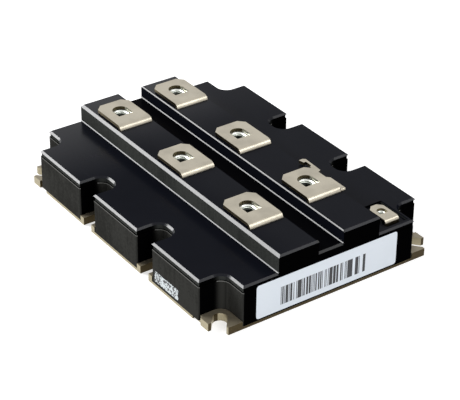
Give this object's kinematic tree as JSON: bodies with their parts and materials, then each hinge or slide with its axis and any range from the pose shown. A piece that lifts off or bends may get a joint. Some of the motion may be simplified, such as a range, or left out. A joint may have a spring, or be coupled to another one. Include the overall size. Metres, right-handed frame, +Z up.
{
  "type": "igbt module",
  "caption": "Flat power semiconductor module: metal baseplate, black moulded case with two terminal ridges, bent screw terminals and a side label.",
  "frame": {"origin": "middle of the underside of the baseplate", "axes": "+X along the length towards the labelled end, +Y across the width from the emitter row to the collector row, +Z up out of the terminals"},
  "size_m": [0.19, 0.14, 0.038],
  "materials": {
    "plated_baseplate": "nickel plated copper, fine rolling grain",
    "black_moulding": "moulded glass filled thermoplastic, fine grain",
    "plated_copper": "pale nickel plated copper sheet",
    "nut_steel": "zinc plated steel",
    "bare_copper": "bare rolled copper",
    "silicon": "metallised silicon",
    "label_film": "printed plastic film",
    "solder_layers": "tin solder",
    "ceramic_substrates": "white ceramic",
    "bond_ribbons": "bare aluminium ribbon",
    "busbar_insulator": "polyester sheet",
    "gate_board": "green solder mask on glass epoxy",
    "silicone_gel": "soft clear silicone gel"
  },
  "bodies": {
    "root": {"baseplate": "plated_baseplate", "solder_layers": "solder_layers", "ceramic_substrates": "ceramic_substrates", "substrate_copper": "bare_copper", "igbt_chips": "silicon", "diode_chips": "silicon", "bond_ribbons": "bond_ribbons", "collector_busbar": "bare_copper", "busbar_insulator": "busbar_insulator", "emitter_busbar": "bare_copper", "gate_pins": "plated_copper", "gate_board": "gate_board", "gate_lead": "plated_copper", "silicone_gel": "silicone_gel", "housing_frame": "black_moulding", "lid": "black_moulding", "emitter_terminal_1": "plated_copper", "emitter_terminal_2": "plated_copper", "emitter_terminal_3": "plated_copper", "collector_terminal_1": "plated_copper", "collector_terminal_2": "plated_copper", "collector_terminal_3": "plated_copper", "collector_sense_strap": "plated_copper", "emitter_nuts": "nut_steel", "collector_nuts": "nut_steel", "auxiliary_terminal": "plated_copper", "auxiliary_nut": "nut_steel", "side_label": "label_film", "code_sticker": "label_film"}
  },
  "joints": []
}
